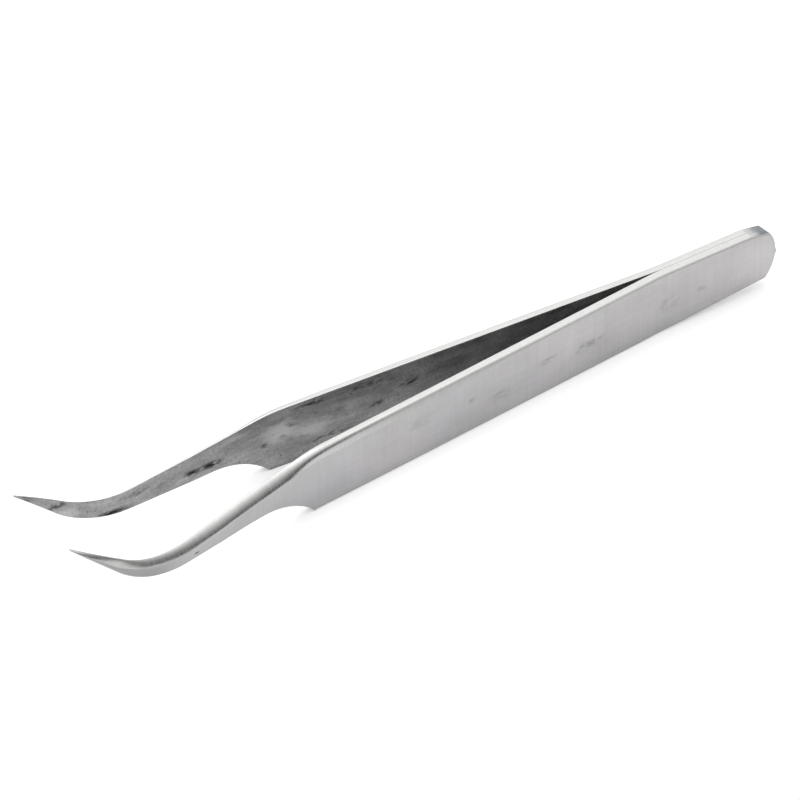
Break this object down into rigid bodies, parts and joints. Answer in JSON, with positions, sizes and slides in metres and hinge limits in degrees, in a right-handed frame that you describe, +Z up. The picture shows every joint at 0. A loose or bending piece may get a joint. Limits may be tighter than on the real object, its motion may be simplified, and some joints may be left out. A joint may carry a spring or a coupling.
{
  "type": "curved tweezers",
  "caption": "Fine tweezers with slender upturned curved points, scalloped shoulders and flat tapered handles, made of satin stainless strip arms welded together at the rear.",
  "frame": {"origin": "middle of the part's bounding box in X and Y, on the surface that the straight lower edges of the handles stand on", "axes": "+X from the welded rear end towards the points, +Z up from the surface, +Y the way the left arm opens; the two arms mirror each other about the XZ plane"},
  "size_m": [0.115, 0.0152, 0.0113],
  "materials": {
    "satin_stainless": "satin ground stainless steel, polished long edges, duller inner faces"
  },
  "bodies": {
    "root": {"left_arm": "satin_stainless", "right_arm": "satin_stainless"}
  },
  "joints": []
}
